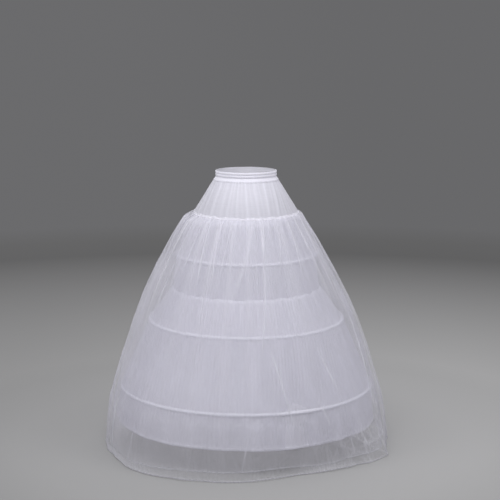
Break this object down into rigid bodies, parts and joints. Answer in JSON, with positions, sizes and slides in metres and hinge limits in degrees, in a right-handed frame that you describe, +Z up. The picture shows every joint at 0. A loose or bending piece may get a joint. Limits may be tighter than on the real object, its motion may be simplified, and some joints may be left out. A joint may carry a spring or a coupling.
{
  "type": "hooped petticoat",
  "caption": "Floor-length hooped petticoat: elastic waistband, gathered lining with hoops in sewn casings, and a double tulle overlay.",
  "frame": {"origin": "middle of the floor-level hem, on the surface that the skirt stands on", "axes": "+Z up through the waist opening, -Y to the wearer's front, +X to the viewer's right when seen from the front"},
  "size_m": [1.1342, 1.125, 1.096],
  "materials": {
    "lining_cloth": "plain-woven white lining cloth, matt with a slight sheen",
    "casing_tape": "close-woven white cotton tape, matt",
    "elastic": "braided white elastic",
    "hoop_wire": "white plastic coating on a flat spring-steel wire",
    "joiner": "thin crimped steel sleeve",
    "tulle": "fine white nylon net, see-through"
  },
  "bodies": {
    "root": {"waistband": "lining_cloth", "waistband_facing": "lining_cloth", "upper_waist_elastic": "elastic", "lower_waist_elastic": "elastic", "yoke": "lining_cloth", "upper_tier_front": "lining_cloth", "upper_tier_back": "lining_cloth", "lower_tier_front": "lining_cloth", "lower_tier_back": "lining_cloth", "upper_hoop_casing": "casing_tape", "middle_hoop_casing": "casing_tape", "lower_hoop_casing": "casing_tape", "upper_hoop": "hoop_wire", "middle_hoop": "hoop_wire", "lower_hoop": "hoop_wire", "upper_hoop_joiner": "joiner", "middle_hoop_joiner": "joiner", "lower_hoop_joiner": "joiner", "inner_tulle_front": "tulle", "inner_tulle_back": "tulle", "outer_tulle_front": "tulle", "outer_tulle_back": "tulle"}
  },
  "joints": []
}
